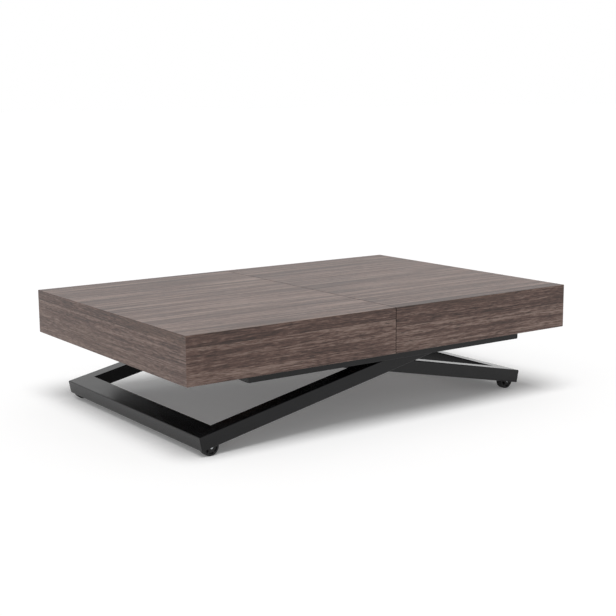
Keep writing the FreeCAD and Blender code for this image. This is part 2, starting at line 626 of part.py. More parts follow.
def carriage():
    """Carriage that slides under the sub-frame as the legs open."""
    low = PIVOT_Z - PUSH_BAR_HEIGHT / 2
    high = PIVOT_Z + PUSH_BAR_HEIGHT / 2
    right = CROSSBAR_LEFT + CROSSBAR_WIDTH
    crossbar = box(CROSSBAR_LEFT, right, -PUSH_BAR_OUTER, PUSH_BAR_OUTER, low, high)
    shaft_start = -INNER_FACE - CARRIAGE_SHAFT_END
    shaft = round_y(-PIVOT_X, PIVOT_Z, UPPER_SHAFT_DIAMETER, shaft_start, -PUSH_BAR_INNER)
    export_pair("carriage_shafts", shaft)
    export_pair("push_bars", push_bar())
    export("push_crossbar", crossbar)
    export_pair("gas_cylinders", gas_cylinder())
    export("guide_roller_front", guide_roller())
    export("guide_roller_back", mirror_y(guide_roller()))


def release_finger(y):
    """Round-ended arm on the release bar that pushes a release pin."""
    half = FINGER_WIDTH / 2
    radius = RELEASE_BAR_DIAMETER / 2
    arm = box(RELEASE_X - radius, RELEASE_X + radius, y - half, y + half, RELEASE_Z, PIVOT_Z)
    return arm.fuse(round_y(RELEASE_X, PIVOT_Z, RELEASE_BAR_DIAMETER, y - half, y + half))


def release_paddle():
    """Hand paddle with a hub around the release bar."""
    half = RELEASE_BEARING_Y - RELEASE_BEARING_WIDTH / 2 - PADDLE_SIDE_GAP
    tip = RELEASE_X - PADDLE_LENGTH
    plate_half = PADDLE_THICKNESS / 2
    plate = box(tip, RELEASE_X, -half, half, RELEASE_Z - plate_half, RELEASE_Z + plate_half)
    corners = [edge for edge in edges_along(plate, Z_AXIS) if edge.CenterOfMass.x < tip + PADDLE_CORNER]
    plate = plate.makeFillet(PADDLE_CORNER, corners)
    hub = round_y(RELEASE_X, RELEASE_Z, PADDLE_HUB_DIAMETER, -half, half)
    bore = round_y(RELEASE_X, RELEASE_Z, RELEASE_BAR_DIAMETER, -half - OVERRUN, half + OVERRUN)
    return plate.fuse(hub).removeSplitter().cut(bore)


def release():
    """Release bar, paddle and pins."""
    reach = GAS_Y + FINGER_WIDTH / 2 + RELEASE_BAR_OVERHANG
    bar = round_y(RELEASE_X, RELEASE_Z, RELEASE_BAR_DIAMETER, -reach, reach)
    bar = bar.fuse([release_finger(-GAS_Y), release_finger(GAS_Y)]).removeSplitter()
    pin_right = RELEASE_PIN_LEFT + RELEASE_PIN_LENGTH
    export("release_bar", bar)
    export("release_paddle", release_paddle())
    pin = round_x(-GAS_Y, PIVOT_Z, RELEASE_PIN_DIAMETER, RELEASE_PIN_LEFT, pin_right)
    export_pair("release_pins", pin)


def slide_channel(back_start, back_end, flange_start, flange_end, inset):
    """Channel of the front right slide: a back wall and two flanges, measured out from the side plate."""
    bottom = RAIL_TOP + SLIDE_RISE + inset
    top = RAIL_TOP + SLIDE_RISE + SLIDE_HEIGHT - inset
    y = -SIDE_PLATE_OUTER
    back = box(SLIDE_START, SLIDE_END, y - back_end, y - back_start, bottom, top)
    lower = box(SLIDE_START, SLIDE_END, y - flange_end, y - flange_start, bottom, bottom + SLIDE_WALL)
    upper = box(SLIDE_START, SLIDE_END, y - flange_end, y - flange_start, top - SLIDE_WALL, top)
    return back.fuse([lower, upper]).removeSplitter()


def slides():
    """Telescopic slides of both halves."""
    step = SLIDE_WALL + SLIDE_PLAY
    outer = slide_channel(0, SLIDE_WALL, 0, SLIDE_OUTER_FLANGE, 0)
    middle = slide_channel(step, step + SLIDE_WALL, step, step + SLIDE_MIDDLE_FLANGE, step)
    inner = slide_channel(SLIDE_DEPTH - SLIDE_WALL, SLIDE_DEPTH, 2 * step, SLIDE_DEPTH, 2 * step)
    export_pair("slide_outers", outer, mirror_x(outer))
    export_pair("right_slide_middles", middle)
    export_pair("left_slide_middles", mirror_x(middle))
    export_pair("right_slide_inners", inner)
    export_pair("left_slide_inners", mirror_x(inner))


def board(outer_corners, inner_corners):
    """Board between two rectangles, whose sloping sides are its mitres."""
    outer = [Vector(*corner) for corner in outer_corners]
    inner = [Vector(*corner) for corner in inner_corners]
    rings = [outer, inner]
    for index in range(len(outer)):
        following = (index + 1) % len(outer)
        rings.append([outer[index], outer[following], inner[following], inner[index]])
    faces = [Part.Face(Part.makePolygon(ring + ring[:1])) for ring in rings]
    solid = Part.makeSolid(Part.makeShell(faces))
    solid.fix(SHAPE_TOLERANCE, SHAPE_TOLERANCE, SHAPE_TOLERANCE)
    return solid


def half_outline():
    """Outside of the right half as one block with eased edges."""
    seam = SEAM_GAP / 2
    block = box(seam, HALF_LENGTH, -HALF_WIDTH, HALF_WIDTH, APRON_BOTTOM, TABLE_HEIGHT)
    eased = [edge for edge in block.Edges if edge.CenterOfMass.x > seam + BOARD_EDGE_ROUND]
    return block.makeFillet(BOARD_EDGE_ROUND, eased)


def half_boards():
    """Top panel, front apron and end apron of the right half."""
    seam = SEAM_GAP / 2
    end = HALF_LENGTH
    end_inner = HALF_LENGTH - BOARD_THICKNESS
    side = HALF_WIDTH
    side_inner = APRON_INNER
    top = TABLE_HEIGHT
    low = APRON_BOTTOM
    panel = board(
        [(seam, -side, top), (end, -side, top), (end, side, top), (seam, side, top)],
        [
            (seam, -side_inner, CEILING),
            (end_inner, -side_inner, CEILING),
            (end_inner, side_inner, CEILING),
            (seam, side_inner, CEILING),
        ],
    )
    front = board(
        [(seam, -side, low), (end, -side, low), (end, -side, top), (seam, -side, top)],
        [
            (seam, -side_inner, low),
            (end_inner, -side_inner, low),
            (end_inner, -side_inner, CEILING),
            (seam, -side_inner, CEILING),
        ],
    )
    end_board = board(
        [(end, -side, low), (end, side, low), (end, side, top), (end, -side, top)],
        [
            (end_inner, -side_inner, low),
            (end_inner, side_inner, low),
            (end_inner, side_inner, CEILING),
            (end_inner, -side_inner, CEILING),
        ],
    )
    outline = half_outline()
    return [piece.common(outline) for piece in (panel, front, end_board)]


def corner_block():
    """Front corner block of the right half."""
    x = HALF_LENGTH - BOARD_THICKNESS
    y = -APRON_INNER
    points = [(x, y), (x, y + BLOCK_SIZE), (x - BLOCK_SIZE, y)]
    return prism_z(points, APRON_BOTTOM + BLOCK_SETBACK, CEILING)


def dowels(diameter, start, end):
    """Round bars across the seam, in the middle of the top panels' thickness."""
    z = CEILING + BOARD_THICKNESS / 2
    return [round_x(step * DOWEL_SPACING, z, diameter, start, end) for step in (-1, 0, 1)]


def top_halves():
    """Both halves of the top with the alignment dowels between them."""
    seam = SEAM_GAP / 2
    panel, apron, end_board = half_boards()
    block = corner_block()
    left_end = -seam - DOWEL_DEPTH
    right_end = seam + DOWEL_DEPTH
    pins = dowels(DOWEL_DIAMETER, left_end, right_end - OVERRUN)
    sockets = dowels(DOWEL_DIAMETER + 2 * DOWEL_PLAY, -seam, right_end)

    export("right_top_panel", panel.cut(sockets))
    export("right_front_apron", apron)
    export("right_back_apron", mirror_y(apron))
    export("right_end_apron", end_board)
    export_pair("right_corner_blocks", block)

    export("left_top_panel", mirror_x(panel).cut(pins))
    export("left_front_apron", mirror_x(apron))
    export("left_back_apron", mirror_x(mirror_y(apron)))
    export("left_end_apron", mirror_x(end_board))
    export_pair("left_corner_blocks", mirror_x(block))
    export("alignment_dowels", *pins)


def export(node, *solids):
    """Write one node, of one piece or several alike."""
    shape = solids[0] if len(solids) == 1 else Part.makeCompound(list(solids))
    shape.exportStep(os.path.join("parts", node + ".step"))


def export_pair(node, *solids):
    """Write one node of pieces that are alike on both long sides of the table."""
    export(node, *solids, *[mirror_y(solid) for solid in solids])


os.makedirs("parts", exist_ok=True)
leg_frames()
sub_frame()
carriage()
release()
slides()
top_halves()
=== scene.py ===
"""Looks of a low table whose crossed legs lift it to dining height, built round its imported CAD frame."""

import json
import logging
import math
from abc import ABC, abstractmethod
from dataclasses import dataclass
from enum import Enum

import bpy
import numpy as np
from mathutils import Matrix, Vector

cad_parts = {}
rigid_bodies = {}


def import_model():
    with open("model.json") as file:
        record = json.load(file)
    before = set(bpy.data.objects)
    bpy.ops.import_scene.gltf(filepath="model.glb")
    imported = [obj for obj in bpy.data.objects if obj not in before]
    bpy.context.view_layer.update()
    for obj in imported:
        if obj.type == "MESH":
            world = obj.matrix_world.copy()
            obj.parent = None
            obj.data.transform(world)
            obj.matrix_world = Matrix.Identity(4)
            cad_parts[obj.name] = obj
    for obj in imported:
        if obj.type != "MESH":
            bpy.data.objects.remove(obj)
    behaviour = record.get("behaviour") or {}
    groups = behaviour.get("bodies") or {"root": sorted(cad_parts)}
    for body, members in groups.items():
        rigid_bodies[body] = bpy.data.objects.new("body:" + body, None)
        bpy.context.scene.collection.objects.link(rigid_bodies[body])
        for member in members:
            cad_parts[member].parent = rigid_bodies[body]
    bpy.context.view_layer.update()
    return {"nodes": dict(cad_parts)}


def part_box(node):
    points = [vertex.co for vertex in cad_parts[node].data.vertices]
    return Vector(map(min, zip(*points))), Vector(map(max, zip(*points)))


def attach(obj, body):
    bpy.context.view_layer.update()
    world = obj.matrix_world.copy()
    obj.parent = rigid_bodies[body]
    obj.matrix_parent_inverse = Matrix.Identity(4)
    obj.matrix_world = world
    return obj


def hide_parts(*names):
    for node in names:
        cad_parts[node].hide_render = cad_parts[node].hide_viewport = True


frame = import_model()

Pair = tuple[float, float]
Triple = tuple[float, float, float]
Tree = bpy.types.NodeTree
Node = bpy.types.Node
Socket = bpy.types.NodeSocket

MM = 0.001
LOG = logging.getLogger("table")


class Named(Enum):
    """A choice among the table's parts that also gives their names."""

    @property
    def label(self) -> str:
        """Name used in node and piece names."""
        return self.name.lower()


class Side(Named):
    """Which half of the top, by its direction along X."""

    LEFT = -1
    RIGHT = 1


class Leg(Named):
    """The two crossing leg frames, by the direction along X in which their legs climb."""

    OUTER = 1
    INNER = -1


class Grain(Enum):
    """Turn about Z, in radians, that brings a board's grain to the printed sheet's length."""

    LENGTHWISE = 0.0
    CROSSWISE = math.pi / 2


def linear(hex_code: str) -> tuple[float, float, float, float]:
    """Turn an sRGB hex colour into linear light by the standard sRGB curve.

    Args:
        hex_code: Colour such as "#6b5d57".

    Returns:
        Linear red, green and blue, and an alpha of one.
    """
    shares = [int(hex_code[start:start + 2], 16) / 255 for start in (1, 3, 5)]
    red, green, blue = (
        share / 12.92 if share <= 0.04045 else ((share + 0.055) / 1.055) ** 2.4 for share in shares
    )
    return red, green, blue, 1.0


def add(tree: Tree, kind: str, inputs: dict | None = None, **settings: object) -> Node:
    """Add one node with its settings and links.

    Args:
        tree: Node tree that gets the node.
        kind: Blender's name of the node type.
        inputs: Values or output sockets, by the input's name or number.
        settings: Properties of the node. "stops" holds a ramp's positions and hex colours.

    Returns:
        The new node.
    """
    node = tree.nodes.new(kind)
    for name, value in settings.items():
        if name == "stops":
            ramp = node.color_ramp.elements
            while len(ramp) < len(value):
                ramp.new(1.0)
            for stop, (position, hex_code) in zip(ramp, value):
                stop.position = position
                stop.color = linear(hex_code)
        else:
            setattr(node, name, value)
    for key, value in (inputs or {}).items():
        if isinstance(value, Socket):
            tree.links.new(value, node.inputs[key])
        else:
            node.inputs[key].default_value = value
    return node


@dataclass(frozen=True)
class Finish(ABC):
    """A surface finish, named for the real one."""

    name: str

    def material(self) -> bpy.types.Material:
        """Find the finish's material, or make it at the first call.

        Returns:
            The material.
        """
        made = bpy.data.materials.get(self.name)
        if made is None:
            made = bpy.data.materials.new(self.name)
            made.use_nodes = True
            self.paint(made.node_tree, made.node_tree.nodes["Principled BSDF"])
        return made

    @abstractmethod
    def paint(self, tree: Tree, shader: Node) -> None:
        """Build the finish's nodes and link them to the shader."""


@dataclass(frozen=True)
class OakLaminate(Finish):
    """Grey-brown oak print under a satin melamine skin, pressed on board.

    The eye sees long dark and pale streaks in planks a hand wide, short dark pores, and a soft sheen
    that pales the top where it is seen at a flat angle. A layer's length and width, the planks' width and
    the figure's wander are in millimetres, and the slide of the figure from plank to plank in metres.
    Figure weighs bands and streaks together, plank the planks' tones, and joint the dark line between them.
    """

    grain: Grain = Grain.LENGTHWISE
    shift: Triple = (0.0, 0.0, 0.0)
    dark: str = "#342722"
    middle: str = "#56413a"
    pale: str = "#7f6c63"
    warm: str = "#6d5a4c"
    pore: str = "#271d1a"
    figure: float = 0.75
    plank: float = 0.17
    joint: float = 0.0
    plank_width: float = 96.0
    plank_slide: float = 7.0
    joint_share: float = 0.04
    waves_per_metre: Triple = (1.1, 5.0, 5.0)
    wander: float = 14.0
    # Real pores are under half a millimetre wide, too fine to show here, so pores, flecks and fibres are
    # drawn about five times as wide.
    band: Pair = (1100.0, 40.0)
    streak: Pair = (420.0, 9.0)
    fibre: Pair = (90.0, 2.8)
    fleck: Pair = (20.0, 2.8)
    pores: Pair = (26.0, 2.3)
    band_weight: float = 0.7
    streak_weight: float = 1.75
    fibre_weight: float = 1.4
    fleck_weight: float = 1.25
    gloss: Pair = (0.38, 0.5)
    relief: float = 0.16
    specular: float = 0.34

    def planks(self, tree: Tree) -> dict[str, Socket]:
        """Lay planks along the grain, each with a tone and a piece of the figure of its own.

        A plank's number is the whole part of the place across plus the height, over its width, so that
        planks fold over the long edges. The figure lies in the board's depth: cut edges show end grain.

        Args:
            tree: Node tree of the material.

        Returns:
            The figure's place, each plank's chance, the share of its width, and the figure's bend.
        """
        place = add(tree, "ShaderNodeTexCoord").outputs["Object"]
        turn = {"Vector": place, "Location": self.shift, "Rotation": (0.0, 0.0, self.grain.value)}
        axes = add(tree, "ShaderNodeSeparateXYZ", {0: add(tree, "ShaderNodeMapping", turn).outputs[0]})
        across = add(tree, "ShaderNodeMath", {0: axes.outputs["Y"], 1: axes.outputs["Z"]}, operation="ADD")
        rows = {0: across.outputs[0], 1: 1 / (self.plank_width * MM)}
        row = add(tree, "ShaderNodeMath", rows, operation="MULTIPLY").outputs[0]
        number = add(tree, "ShaderNodeMath", {0: row}, operation="FLOOR").outputs[0]
        share = add(tree, "ShaderNodeMath", {0: row}, operation="FRACT").outputs[0]
        chance = add(tree, "ShaderNodeTexWhiteNoise", {"W": number}, noise_dimensions="1D").outputs["Value"]
        slide = {0: chance, 1: self.plank_slide, 2: axes.outputs["X"]}
        along = add(tree, "ShaderNodeMath", slide, operation="MULTIPLY_ADD").outputs[0]
        solid = {"X": along, "Y": axes.outputs["Y"], "Z": axes.outputs["Z"]}
        straight = add(tree, "ShaderNodeCombineXYZ", solid).outputs[0]
        waves = {"Vector": straight, "Scale": self.waves_per_metre}
        slow = {"Vector": add(tree, "ShaderNodeMapping", waves).outputs[0], "Scale": 1.0, "Detail": 2.0}
        bend = add(tree, "ShaderNodeTexNoise", slow).outputs["Fac"]
        for axis in ("Y", "Z"):
            drift = {0: bend, 1: self.wander * MM, 2: axes.outputs[axis]}
            solid[axis] = add(tree, "ShaderNodeMath", drift, operation="MULTIPLY_ADD").outputs[0]
        bent = add(tree, "ShaderNodeCombineXYZ", solid).outputs[0]
        return {"place": bent, "chance": chance, "share": share, "bend": bend}

    def layers(self, tree: Tree, place: Socket) -> dict[str, Socket]:
        """Draw the print's layers, each a noise stretched to its length and width.

        Args:
            tree: Node tree of the material.
            place: The figure's place.

        Returns:
            Each layer's value, by its name.
        """
        drawn = {}
        for layer, size, detail in (("band", self.band, 2.0), ("streak", self.streak, 5.0),
                                    ("fibre", self.fibre, 5.0), ("fleck", self.fleck, 4.0),
                                    ("pores", self.pores, 3.0)):
            scale = (1 / (size[0] * MM), 1 / (size[1] * MM), 1 / (size[1] * MM))
            spot = add(tree, "ShaderNodeMapping", {"Vector": place, "Scale": scale}).outputs[0]
            noise = {"Vector": spot, "Scale": 1.0, "Detail": detail, "Roughness": 0.6}
            drawn[layer] = add(tree, "ShaderNodeTexNoise", noise).outputs["Fac"]
        return drawn

    def paint(self, tree: Tree, shader: Node) -> None:
        """Weigh planks and layers into one tone, colour it, and sink the pores.

        Args:
            tree: Node tree of the material.
            shader: Its surface shader.
        """
        planks = self.planks(tree)
        layers = self.layers(tree, planks["place"])
        weights = [(planks["chance"], self.plank), (layers["band"], self.band_weight * self.figure),
                   (layers["streak"], self.streak_weight * self.figure),
                   (layers["fibre"], self.fibre_weight), (layers["fleck"], self.fleck_weight)]
        tone = 0.5 - sum(weight for _, weight in weights) / 2
        if self.joint:
            edge = {0: planks["share"], 1: 0.0, 2: self.joint_share, 3: 1.0, 4: 0.0}
            weights.append((add(tree, "ShaderNodeMapRange", edge).outputs[0], -self.joint))
        for value, weight in weights:
            share = {0: value, 1: weight, 2: tone}
            tone = add(tree, "ShaderNodeMath", share, operation="MULTIPLY_ADD").outputs[0]
        stops = ((0.12, self.dark), (0.5, self.middle), (0.9, self.pale))
        colour = add(tree, "ShaderNodeValToRGB", {0: tone}, stops=stops).outputs["Color"]
        warmth = add(tree, "ShaderNodeMapRange", {0: planks["bend"], 1: 0.55, 2: 0.8, 3: 0.0, 4: 0.35})
        pits = add(tree, "ShaderNodeMapRange", {0: layers["pores"], 1: 0.55, 2: 0.68, 3: 0.0, 4: 0.75})
        for share, tint in ((warmth, self.warm), (pits, self.pore)):
            mixed = {0: share.outputs[0], 6: colour, 7: linear(tint)}
            colour = add(tree, "ShaderNodeMix", mixed, data_type="RGBA").outputs[2]
        tree.links.new(colour, shader.inputs["Base Color"])

        dulled = {0: layers["fibre"], 1: 0.3, 2: 0.7, 3: self.gloss[0], 4: self.gloss[1]}
        tree.links.new(add(tree, "ShaderNodeMapRange", dulled).outputs[0], shader.inputs["Roughness"])
        sunk = {0: layers["fibre"], 1: pits.outputs[0]}
        height = add(tree, "ShaderNodeMath", sunk, operation="SUBTRACT").outputs[0]
        bump = add(tree, "ShaderNodeBump", {"Height": height, "Strength": self.relief, "Distance": 0.5 * MM})
        tree.links.new(bump.outputs["Normal"], shader.inputs["Normal"])
        shader.inputs["IOR"].default_value = 1.5
        shader.inputs["Specular IOR Level"].default_value = self.specular


@dataclass(frozen=True)
class Speckled(Finish):
    """A finish whose colour, gloss and relief vary in small patches.

    Patch and grit are sizes in millimetres; stretch draws both out along X. Span is where the sum of the
    two noises mostly lies.
    """

    low: str = "#000000"
    high: str = "#000000"
    patch: float = 30.0
    grit: float = 2.0
    stretch: float = 1.0
    gloss: Pair = (0.3, 0.4)
    relief: float = 0.1
    metallic: float = 0.0
    specular: float = 0.5
    span: Pair = (0.45, 0.95)

    def paint(self, tree: Tree, shader: Node) -> None:
        """Build two noises on the object's own place: patches for colour and gloss, grit for relief.

        Args:
            tree: Node tree of the material.
            shader: Its surface shader.
        """
        place = add(tree, "ShaderNodeTexCoord").outputs["Object"]
        noises = []
        for size, detail in ((self.patch, 3.0), (self.grit, 2.0)):
            scale = 1 / (size * MM)
            stretched = {"Vector": place, "Scale": (scale / self.stretch, scale, scale)}
            spot = add(tree, "ShaderNodeMapping", stretched).outputs[0]
            noise = {"Vector": spot, "Scale": 1.0, "Detail": detail}
            noises.append(add(tree, "ShaderNodeTexNoise", noise).outputs["Fac"])
        patches, grit = noises
        both = add(tree, "ShaderNodeMath", {0: grit, 1: 0.4, 2: patches}, operation="MULTIPLY_ADD").outputs[0]
        start, end = self.span
        colour = add(tree, "ShaderNodeValToRGB", {0: both}, stops=((start, self.low), (end, self.high)))
        tree.links.new(colour.outputs["Color"], shader.inputs["Base Color"])
        dulled = {0: both, 1: start, 2: end, 3: self.gloss[0], 4: self.gloss[1]}
        tree.links.new(add(tree, "ShaderNodeMapRange", dulled).outputs[0], shader.inputs["Roughness"])
        bump = add(tree, "ShaderNodeBump", {"Height": grit, "Strength": self.relief, "Distance": 0.4 * MM})
        tree.links.new(bump.outputs["Normal"], shader.inputs["Normal"])
        shader.inputs["Metallic"].default_value = self.metallic
        shader.inputs["Specular IOR Level"].default_value = self.specular


# Black polyester powder, sprayed and baked: near black, satin, with a fine orange peel. The peel is about
# one millimetre and drawn at two so that it shows.
POWDER_COAT = Speckled("black_satin_powder_coat", "#0a0a0b", "#121214", patch=40.0, grit=2.0,
                       gloss=(0.2, 0.25), relief=0.015, specular=0.27)
# Zinc-plated, passivated steel: pale grey with cloudy patches of duller zinc.
ZINC = Speckled("zinc_plated_steel", "#a3a7aa", "#b9bcbf", patch=16.0, grit=1.6,
                gloss=(0.3, 0.38), relief=0.02, metallic=1.0)
# Hard chrome, ground and polished: bright, with faint lines of polish along the rod.
CHROME = Speckled("hard_chrome", "#c9cbcf", "#e2e3e6", patch=14.0, grit=0.8, stretch=12.0,
                  gloss=(0.06, 0.13), relief=0.02, metallic=1.0)
# Black nylon, moulded on an eroded tool: a dull, slightly pebbled skin.
NYLON = Speckled("moulded_black_nylon", "#0d0d0e", "#19191b", patch=12.0, grit=1.1,
                 gloss=(0.45, 0.6), relief=0.18, specular=0.4)
# Dark polyurethane tread: matt, with paler scuffs.
TREAD = Speckled("cast_polyurethane_tread", "#121213", "#232325", patch=6.0, grit=1.4,
                 gloss=(0.6, 0.78), relief=0.25, specular=0.4)
# Near-black strip in the seam between the top's halves, a painted shade for the dark gap: dead matt, with an
# open grain of fine bubbles.
SEAM_SHADE_BLACK = Speckled("black_cell_foam", "#070707", "#0f0f10", patch=4.0, grit=0.9,
                gloss=(0.85, 0.95), relief=0.3, specular=0.2)
# Planed beech, unfinished: pink-brown, with short flecks along the grain.
BEECH = Speckled("planed_beech", "#a97a4d", "#cfa574", patch=5.0, grit=1.0, stretch=7.0,
                 gloss=(0.55, 0.7), relief=0.12)


@dataclass
class Patch:
    """A closed surface: points in metres, and each face as an array of point numbers."""

    points: np.ndarray
    faces: list[np.ndarray]

    def outward(self) -> "Patch":
        """Turn the faces round if the volume they enclose, a sum of tetrahedra, comes out negative.

        Returns:
            The surface itself.
        """
        fans = [np.stack([np.full(len(face) - 2, face[0]), face[1:-1], face[2:]], axis=1)
                for face in self.faces]
        a, b, c = (self.points[column] for column in np.concatenate(fans).T)
        if np.einsum("ij,ij->", a, np.cross(b, c)) < 0:
            self.faces = [face[::-1] for face in self.faces]
        return self

    def placed(self, frames: np.ndarray) -> "Patch":
        """Repeat the surface in several places.

        Args:
            frames: One 4 x 4 matrix for each place.

        Returns:
            All copies as one surface.
        """
        points = np.einsum("nij,kj->nki", frames[:, :3, :3], self.points) + frames[:, None, :3, 3]
        return joined([Patch(copy, self.faces) for copy in points])


def joined(patches: list[Patch]) -> Patch:
    """Put surfaces together.

    Args:
        patches: The surfaces.

    Returns:
        All of them as one.
    """
    starts = np.cumsum([0] + [len(patch.points) for patch in patches])
    faces = [face + start for start, patch in zip(starts, patches) for face in patch.faces]
    return Patch(np.concatenate([patch.points for patch in patches]), faces)


def lofted(rings: np.ndarray, endless: bool = False) -> Patch:
    """Join a grid of points into a closed surface of quads.

    Args:
        rings: Points as (along, around, 3). Each ring is closed on itself.
        endless: Join the last ring to the first. Otherwise the two end rings get a flat face each.

    Returns:
        The surface, with its faces outwards.
    """
    along, around = rings.shape[:2]
    index = np.arange(along * around).reshape(along, around)
    here, there = (index, np.roll(index, -1, axis=0)) if endless else (index[:-1], index[1:])
    quads = np.stack([here, np.roll(here, -1, axis=1), np.roll(there, -1, axis=1), there], axis=-1)
    faces = list(quads.reshape(-1, 4))
    if not endless:
        faces += [index[0], index[-1][::-1]]
    return Patch(rings.reshape(-1, 3), faces).outward()


def turned(height: np.ndarray, radius: np.ndarray, steps: int) -> np.ndarray:
    """Points of a turned surface about Z.

    Point (i, j) stands radius[i, j] from the axis, at j equal steps of the full turn, at height[i, j].

    Args:
        height: Heights as (rows, 1) or (rows, steps).
        radius: Radii of the same kind.
        steps: Points round the axis.

    Returns:
        Points as (rows, steps, 3).
    """
    angle = np.arange(steps) * 2 * np.pi / steps
    height, radius = np.broadcast_arrays(height, radius * np.ones(steps))
    return np.stack([radius * np.cos(angle), radius * np.sin(angle), height], axis=-1)


def frames_at(origins: np.ndarray, normal: Triple) -> np.ndarray:
    """Matrices that stand a piece's Z axis along a normal.

    Args:
        origins: Places as (n, 3).
        normal: Direction of the piece's Z axis.

    Returns:
        Matrices as (n, 4, 4).
    """
    z = np.array(normal) / np.linalg.norm(normal)
    side = np.array((0.0, 0.0, 1.0)) if abs(z[2]) < 0.9 else np.array((1.0, 0.0, 0.0))
    x = np.cross(side, z)
    x /= np.linalg.norm(x)
    matrices = np.tile(np.eye(4), (len(origins), 1, 1))
    matrices[:, :3, :3] = np.stack([x, np.cross(z, x), z], axis=1)
    matrices[:, :3, 3] = origins
    return matrices


def hexagon(steps: int) -> np.ndarray:
    """Radius of a hexagon of unit inside radius, at equal steps of the turn."""
    angle = np.arange(steps) * 2 * np.pi / steps
    return 1 / np.cos((angle + np.pi / 6) % (np.pi / 3) - np.pi / 6)


def socket_screw(diameter: float, height: float, steps: int = 24) -> Patch:
    """Domed screw head with a hexagon socket, standing on Z = 0.

    The rows go from the socket's floor up its six walls, over a half-ellipse dome and down to a rim
    that is let in a little.

    Args:
        diameter: Width of the head.
        height: Height of the dome.
        steps: Points round the axis.

    Returns:
        The head as one surface.
    """
    six = hexagon(steps) * diameter * 0.22
    rise = np.linspace(0.36 * np.pi, 0.0, 6)[:, None]
    dome_height = height * np.sin(rise) / np.sin(rise[0])
    dome_radius = diameter / 2 * np.cos(rise) ** 0.8
    floor = height * 0.35
    rim = -0.3 * MM
    socket_height = np.array((floor, floor, height * 0.97, height))[:, None]
    heights = np.concatenate([socket_height, dome_height, [[rim]]])
    radii = np.concatenate([np.stack([six * 0.05, six, six, six * 1.07]), dome_radius * np.ones(steps),
                            np.full((1, steps), diameter / 2)])
    return lofted(turned(heights, radii, steps))


def weld(start: np.ndarray, end: np.ndarray, size: float = 3.0 * MM, drop: float = 2.6 * MM) -> Patch:
    """Weld bead along a straight corner.

    A round section is carried along the line; its radius swells and falls by a sixth with each
    deposited drop, and runs out at both ends.

    Args:
        start: Start of the corner line.
        end: End of the corner line.
        size: Width of the bead.
        drop: Length of one drop.

    Returns:
        The bead as one surface.
    """
    length = np.linalg.norm(end - start)
    stations = np.linspace(0.0, 1.0, max(12, int(length / (0.7 * MM))))[:, None]
    fade = np.clip(np.minimum(stations, 1 - stations) * length / size, 0.25, 1.0)
    radius = size / 2 * fade * (1 + 0.16 * np.sin(stations * length * 2 * np.pi / drop))
    rings = turned(stations * length, radius, 10)
    return lofted(rings).placed(frames_at(start[None], tuple(end - start)))


def strip(low: np.ndarray, high: np.ndarray, ease: float) -> Patch:
    """Thin board between two corners with eased long edges.

    An eight-sided section, a rectangle with cut corners, is carried along the longest side.

    Args:
        low: Lowest corner.
        high: Highest corner.
        ease: Size of the cut at the corners.

    Returns:
        The board as one surface.
    """
    axis = int(np.argmax(high - low))
    one, two = (k for k in range(3) if k != axis)
    base = np.array([(0, 0), (0, 0), (1, 0), (1, 0), (1, 1), (1, 1), (0, 1), (0, 1)])
    cut = ease * np.array([(0, 1), (1, 0), (-1, 0), (0, 1), (0, -1), (-1, 0), (1, 0), (0, -1)])
    rings = np.zeros((2, 8, 3))
    rings[..., one] = low[one] + base[:, 0] * (high[one] - low[one]) + cut[:, 0]
    rings[..., two] = low[two] + base[:, 1] * (high[two] - low[two]) + cut[:, 1]
    rings[..., axis] = np.array((low[axis], high[axis]))[:, None]
    return lofted(rings)


def corners(node: str) -> tuple[np.ndarray, np.ndarray]:
    """Lowest and highest corner of a CAD node as arrays, in metres."""
    low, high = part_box(node)
    return np.array(low), np.array(high)


def make_piece(name: str, patch: Patch, body: str, finish: Finish, flat: float = 32.0) -> str:
    """Put a surface into the scene as a piece that rides on a body.

    Args:
        name: Name of the piece.
        patch: Its surface.
        body: CAD body it moves with.
        finish: Its finish.
        flat: Edges sharper than this many degrees stay sharp.

    Returns:
        The name, for the log.
    """
    mesh = bpy.data.meshes.new(name)
    mesh.from_pydata(patch.points.tolist(), [], [face.tolist() for face in patch.faces])
    mesh.shade_smooth()
    mesh.set_sharp_from_angle(angle=math.radians(flat))
    mesh.materials.append(finish.material())
    piece = bpy.data.objects.new(name, mesh)
    bpy.context.scene.collection.objects.link(piece)
    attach(piece, body)
    return name


def dress(finish: Finish, *nodes: str) -> list[str]:
    """Give CAD nodes a finish.

    Args:
        finish: The finish.
        nodes: Names of the nodes.

    Returns:
        The names, for the log.
    """
    for node in nodes:
        slots = frame["nodes"][node].data.materials
        slots.clear()
        slots.append(finish.material())
    return list(nodes)


class Assembly(ABC):
    """A part of the scene that builds itself."""

    @abstractmethod
    def build(self) -> list[str]:
        """Build and dress the part, and give the names of its pieces and nodes for the log."""


